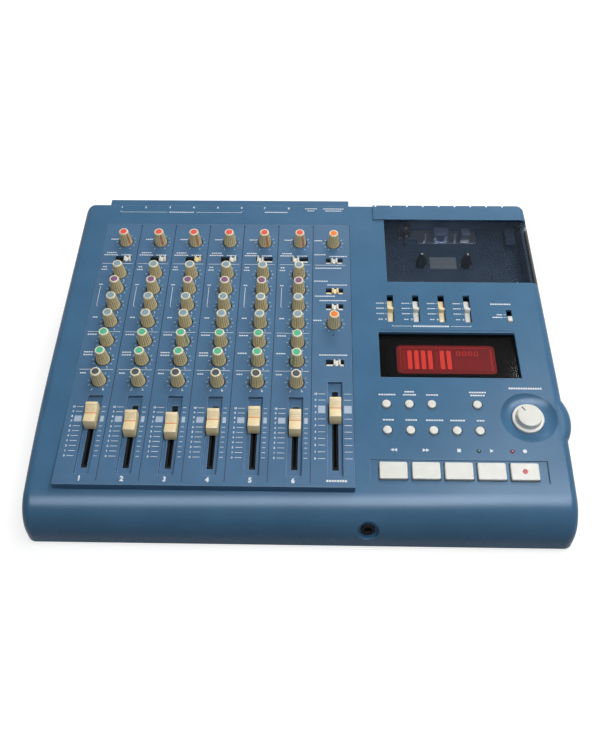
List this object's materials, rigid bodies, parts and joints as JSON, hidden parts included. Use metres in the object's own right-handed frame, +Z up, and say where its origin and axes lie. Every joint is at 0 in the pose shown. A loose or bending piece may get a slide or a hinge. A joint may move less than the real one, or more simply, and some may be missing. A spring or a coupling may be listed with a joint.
{
  "type": "cassette recorder",
  "caption": "Tabletop cassette recorder with a built-in channel mixer: sloping case, sliding faders, rotary knobs, hinged smoked lid over the tape well, transport keys and rear sockets.",
  "frame": {"origin": "bottom centre of the bounding box, on the plane of the feet", "axes": "+X to the right along the front, +Y to the rear sockets, +Z up"},
  "size_m": [0.429, 0.3295, 0.0984],
  "materials": {
    "case_blue": "fine satin texture",
    "dark_base": "matte",
    "smoked_lid": "clear smoked, glossy",
    "window_tint": "clear tinted, glossy",
    "display_red": "lit segments behind a dark filter",
    "well_plastic": "matte",
    "plated_steel": "zinc plated",
    "board": "varnished board",
    "pot_body": "plated",
    "socket": "nickel plated",
    "rubber": "matte",
    "screw_steel": "black zinc",
    "knob_beige": "satin",
    "switch_white": "satin",
    "switch_cream": "satin",
    "key_white": "satin",
    "fader_cream": "satin",
    "spindle_black": "satin",
    "flywheel_steel": "turned",
    "roller_rubber": "matte"
  },
  "bodies": {
    "case": {"bottom_case": "dark_base", "top_case": "case_blue", "mixer_panel": "case_blue", "rear_jack_panel": "case_blue", "display_window": "window_tint", "display_module": "display_red", "cassette_well": "well_plastic", "transport_plate": "plated_steel", "circuit_boards": "board", "potentiometers": "pot_body", "fader_units": "plated_steel", "jack_sockets": "socket", "feet": "rubber", "case_screws": "screw_steel", "capstan_motor": "plated_steel", "channel_knobs_2_to_6": "knob_beige", "slide_switches": "switch_white"},
    "fader_cap_1": {"fader_cap_1": "fader_cream"},
    "fader_cap_2": {"fader_cap_2": "fader_cream"},
    "fader_cap_3": {"fader_cap_3": "fader_cream"},
    "fader_cap_4": {"fader_cap_4": "fader_cream"},
    "fader_cap_5": {"fader_cap_5": "fader_cream"},
    "fader_cap_6": {"fader_cap_6": "fader_cream"},
    "master_fader_cap": {"master_fader_cap": "fader_cream"},
    "trim_knob": {"trim_knob": "knob_beige"},
    "high_knob": {"high_knob": "knob_beige"},
    "mid_frequency_knob": {"mid_frequency_knob": "knob_beige"},
    "mid_gain_knob": {"mid_gain_knob": "knob_beige"},
    "low_knob": {"low_knob": "knob_beige"},
    "effect_1_knob": {"effect_1_knob": "knob_beige"},
    "effect_2_knob": {"effect_2_knob": "knob_beige"},
    "pan_knob": {"pan_knob": "knob_beige"},
    "level_knob_upper": {"level_knob_upper": "knob_beige"},
    "level_knob_lower": {"level_knob_lower": "knob_beige"},
    "pitch_knob": {"pitch_knob": "key_white"},
    "rewind_key": {"rewind_key": "key_white"},
    "fast_forward_key": {"fast_forward_key": "key_white"},
    "stop_key": {"stop_key": "key_white"},
    "play_key": {"play_key": "key_white"},
    "record_key": {"record_key": "key_white"},
    "upper_button_1": {"upper_button_1": "key_white"},
    "upper_button_2": {"upper_button_2": "key_white"},
    "upper_button_3": {"upper_button_3": "key_white"},
    "upper_button_4": {"upper_button_4": "key_white"},
    "lower_button_1": {"lower_button_1": "key_white"},
    "lower_button_2": {"lower_button_2": "key_white"},
    "lower_button_3": {"lower_button_3": "key_white"},
    "lower_button_4": {"lower_button_4": "key_white"},
    "lower_button_5": {"lower_button_5": "key_white"},
    "cassette_door": {"cassette_door": "smoked_lid"},
    "head_bridge": {"head_bridge": "plated_steel"},
    "pinch_roller": {"pinch_roller": "roller_rubber"},
    "supply_spindle": {"supply_spindle": "spindle_black"},
    "takeup_spindle": {"takeup_spindle": "spindle_black"},
    "capstan_flywheel": {"capstan_flywheel": "flywheel_steel"},
    "record_switch_1": {"record_switch_1": "switch_cream"},
    "record_switch_2": {"record_switch_2": "switch_white"},
    "record_switch_3": {"record_switch_3": "switch_cream"},
    "record_switch_4": {"record_switch_4": "switch_white"},
    "tape_speed_switch": {"tape_speed_switch": "switch_white"}
  },
  "joints": [
    {"name": "fader_1_slide", "type": "slide", "parent": "case", "child": "fader_cap_1", "axis": [0, 0.9903, 0.1392], "range_m": [-0.0368, 0.0082]},
    {"name": "fader_2_slide", "type": "slide", "parent": "case", "child": "fader_cap_2", "axis": [0, 0.9903, 0.1392], "range_m": [-0.0298, 0.0152]},
    {"name": "fader_3_slide", "type": "slide", "parent": "case", "child": "fader_cap_3", "axis": [0, 0.9903, 0.1392], "range_m": [-0.028, 0.017]},
    {"name": "fader_4_slide", "type": "slide", "parent": "case", "child": "fader_cap_4", "axis": [0, 0.9903, 0.1392], "range_m": [-0.032, 0.013]},
    {"name": "fader_5_slide", "type": "slide", "parent": "case", "child": "fader_cap_5", "axis": [0, 0.9903, 0.1392], "range_m": [-0.0343, 0.0107]},
    {"name": "fader_6_slide", "type": "slide", "parent": "case", "child": "fader_cap_6", "axis": [0, 0.9903, 0.1392], "range_m": [-0.032, 0.013]},
    {"name": "master_fader_slide", "type": "slide", "parent": "case", "child": "master_fader_cap", "axis": [0, 0.9903, 0.1392], "range_m": [-0.0436, 0.0164]},
    {"name": "trim_turn", "type": "hinge", "parent": "case", "child": "trim_knob", "pos_m": [-0.1685, 0.10618, 0.0841], "axis": [0, -0.1392, 0.9903], "range_deg": [-150, 150]},
    {"name": "high_turn", "type": "hinge", "parent": "case", "child": "high_knob", "pos_m": [-0.1685, 0.06726, 0.07863], "axis": [0, -0.1392, 0.9903], "range_deg": [-150, 150]},
    {"name": "mid_frequency_turn", "type": "hinge", "parent": "case", "child": "mid_frequency_knob", "pos_m": [-0.1685, 0.04924, 0.0761], "axis": [0, -0.1392, 0.9903], "range_deg": [-150, 150]},
    {"name": "mid_gain_turn", "type": "hinge", "parent": "case", "child": "mid_gain_knob", "pos_m": [-0.1685, 0.03082, 0.07351], "axis": [0, -0.1392, 0.9903], "range_deg": [-150, 150]},
    {"name": "low_turn", "type": "hinge", "parent": "case", "child": "low_knob", "pos_m": [-0.1685, 0.0123, 0.07091], "axis": [0, -0.1392, 0.9903], "range_deg": [-150, 150]},
    {"name": "effect_1_turn", "type": "hinge", "parent": "case", "child": "effect_1_knob", "pos_m": [-0.1685, -0.0082, 0.06803], "axis": [0, -0.1392, 0.9903], "range_deg": [-150, 150]},
    {"name": "effect_2_turn", "type": "hinge", "parent": "case", "child": "effect_2_knob", "pos_m": [-0.1685, -0.02731, 0.06534], "axis": [0, -0.1392, 0.9903], "range_deg": [-150, 150]},
    {"name": "pan_turn", "type": "hinge", "parent": "case", "child": "pan_knob", "pos_m": [-0.1685, -0.0484, 0.06238], "axis": [0, -0.1392, 0.9903], "range_deg": [-150, 150]},
    {"name": "level_knob_upper_turn", "type": "hinge", "parent": "case", "child": "level_knob_upper", "pos_m": [0.0251, 0.10558, 0.08402], "axis": [0, -0.1392, 0.9903], "range_deg": [-150, 150]},
    {"name": "level_knob_lower_turn", "type": "hinge", "parent": "case", "child": "level_knob_lower", "pos_m": [0.0251, 0.0122, 0.0709], "axis": [0, -0.1392, 0.9903], "range_deg": [-150, 150]},
    {"name": "pitch_turn", "type": "hinge", "parent": "case", "child": "pitch_knob", "pos_m": [0.1795, -0.07754, 0.057], "axis": [0, -0.1927, 0.9813], "range_deg": [-150, 150]},
    {"name": "rewind_press", "type": "slide", "parent": "case", "child": "rewind_key", "axis": [0, -0.2458, 0.9693], "range_m": [-0.002, 0], "stiffness_N_per_m": 200, "springref_m": 0.001},
    {"name": "fast_forward_press", "type": "slide", "parent": "case", "child": "fast_forward_key", "axis": [0, -0.2458, 0.9693], "range_m": [-0.002, 0], "stiffness_N_per_m": 200, "springref_m": 0.001},
    {"name": "stop_press", "type": "slide", "parent": "case", "child": "stop_key", "axis": [0, -0.2458, 0.9693], "range_m": [-0.002, 0], "stiffness_N_per_m": 200, "springref_m": 0.001},
    {"name": "play_press", "type": "slide", "parent": "case", "child": "play_key", "axis": [0, -0.2458, 0.9693], "range_m": [-0.002, 0], "stiffness_N_per_m": 200, "springref_m": 0.001},
    {"name": "record_press", "type": "slide", "parent": "case", "child": "record_key", "axis": [0, -0.2458, 0.9693], "range_m": [-0.002, 0], "stiffness_N_per_m": 200, "springref_m": 0.001},
    {"name": "upper_button_1_press", "type": "slide", "parent": "case", "child": "upper_button_1", "axis": [0, -0.1942, 0.981], "range_m": [-0.001, 0], "stiffness_N_per_m": 200, "springref_m": 0.0005},
    {"name": "upper_button_2_press", "type": "slide", "parent": "case", "child": "upper_button_2", "axis": [0, -0.1942, 0.981], "range_m": [-0.001, 0], "stiffness_N_per_m": 200, "springref_m": 0.0005},
    {"name": "upper_button_3_press", "type": "slide", "parent": "case", "child": "upper_button_3", "axis": [0, -0.1942, 0.981], "range_m": [-0.001, 0], "stiffness_N_per_m": 200, "springref_m": 0.0005},
    {"name": "upper_button_4_press", "type": "slide", "parent": "case", "child": "upper_button_4", "axis": [0, -0.1942, 0.981], "range_m": [-0.001, 0], "stiffness_N_per_m": 200, "springref_m": 0.0005},
    {"name": "lower_button_1_press", "type": "slide", "parent": "case", "child": "lower_button_1", "axis": [0, -0.1942, 0.981], "range_m": [-0.001, 0], "stiffness_N_per_m": 200, "springref_m": 0.0005},
    {"name": "lower_button_2_press", "type": "slide", "parent": "case", "child": "lower_button_2", "axis": [0, -0.1942, 0.981], "range_m": [-0.001, 0], "stiffness_N_per_m": 200, "springref_m": 0.0005},
    {"name": "lower_button_3_press", "type": "slide", "parent": "case", "child": "lower_button_3", "axis": [0, -0.1942, 0.981], "range_m": [-0.001, 0], "stiffness_N_per_m": 200, "springref_m": 0.0005},
    {"name": "lower_button_4_press", "type": "slide", "parent": "case", "child": "lower_button_4", "axis": [0, -0.1942, 0.981], "range_m": [-0.001, 0], "stiffness_N_per_m": 200, "springref_m": 0.0005},
    {"name": "lower_button_5_press", "type": "slide", "parent": "case", "child": "lower_button_5", "axis": [0, -0.1942, 0.981], "range_m": [-0.001, 0], "stiffness_N_per_m": 200, "springref_m": 0.0005},
    {"name": "door_hinge", "type": "hinge", "parent": "case", "child": "cassette_door", "pos_m": [0.1375, 0.13355, 0.08189], "axis": [-1, 0, 0], "range_deg": [0, 55]},
    {"name": "bridge_advance", "type": "slide", "parent": "case", "child": "head_bridge", "axis": [0, -0.9903, -0.1392], "range_m": [0, 0.004]},
    {"name": "roller_turn", "type": "hinge", "parent": "head_bridge", "child": "pinch_roller", "pos_m": [0.0955, 0.13682, 0.08841], "axis": [0, -0.1392, 0.9903], "continuous": true},
    {"name": "supply_turn", "type": "hinge", "parent": "case", "child": "supply_spindle", "pos_m": [0.15075, 0.10132, 0.08342], "axis": [0, -0.1392, 0.9903], "continuous": true},
    {"name": "takeup_turn", "type": "hinge", "parent": "case", "child": "takeup_spindle", "pos_m": [0.10825, 0.10132, 0.08342], "axis": [0, -0.1392, 0.9903], "continuous": true},
    {"name": "capstan_turn", "type": "hinge", "parent": "case", "child": "capstan_flywheel", "pos_m": [0.0955, 0.12568, 0.08685], "axis": [0, -0.1392, 0.9903], "continuous": true},
    {"name": "record_switch_1_slide", "type": "slide", "parent": "case", "child": "record_switch_1", "axis": [0, 0.9903, 0.1392], "range_m": [-0.0118, 0.0059]},
    {"name": "record_switch_2_slide", "type": "slide", "parent": "case", "child": "record_switch_2", "axis": [0, 0.9903, 0.1392], "range_m": [-0.0118, 0.0059]},
    {"name": "record_switch_3_slide", "type": "slide", "parent": "case", "child": "record_switch_3", "axis": [0, 0.9903, 0.1392], "range_m": [-0.0118, 0.0059]},
    {"name": "record_switch_4_slide", "type": "slide", "parent": "case", "child": "record_switch_4", "axis": [0, 0.9903, 0.1392], "range_m": [-0.0118, 0.0059]},
    {"name": "tape_speed_slide", "type": "slide", "parent": "case", "child": "tape_speed_switch", "axis": [0, 0.9903, 0.1392], "range_m": [0, 0.006]}
  ]
}
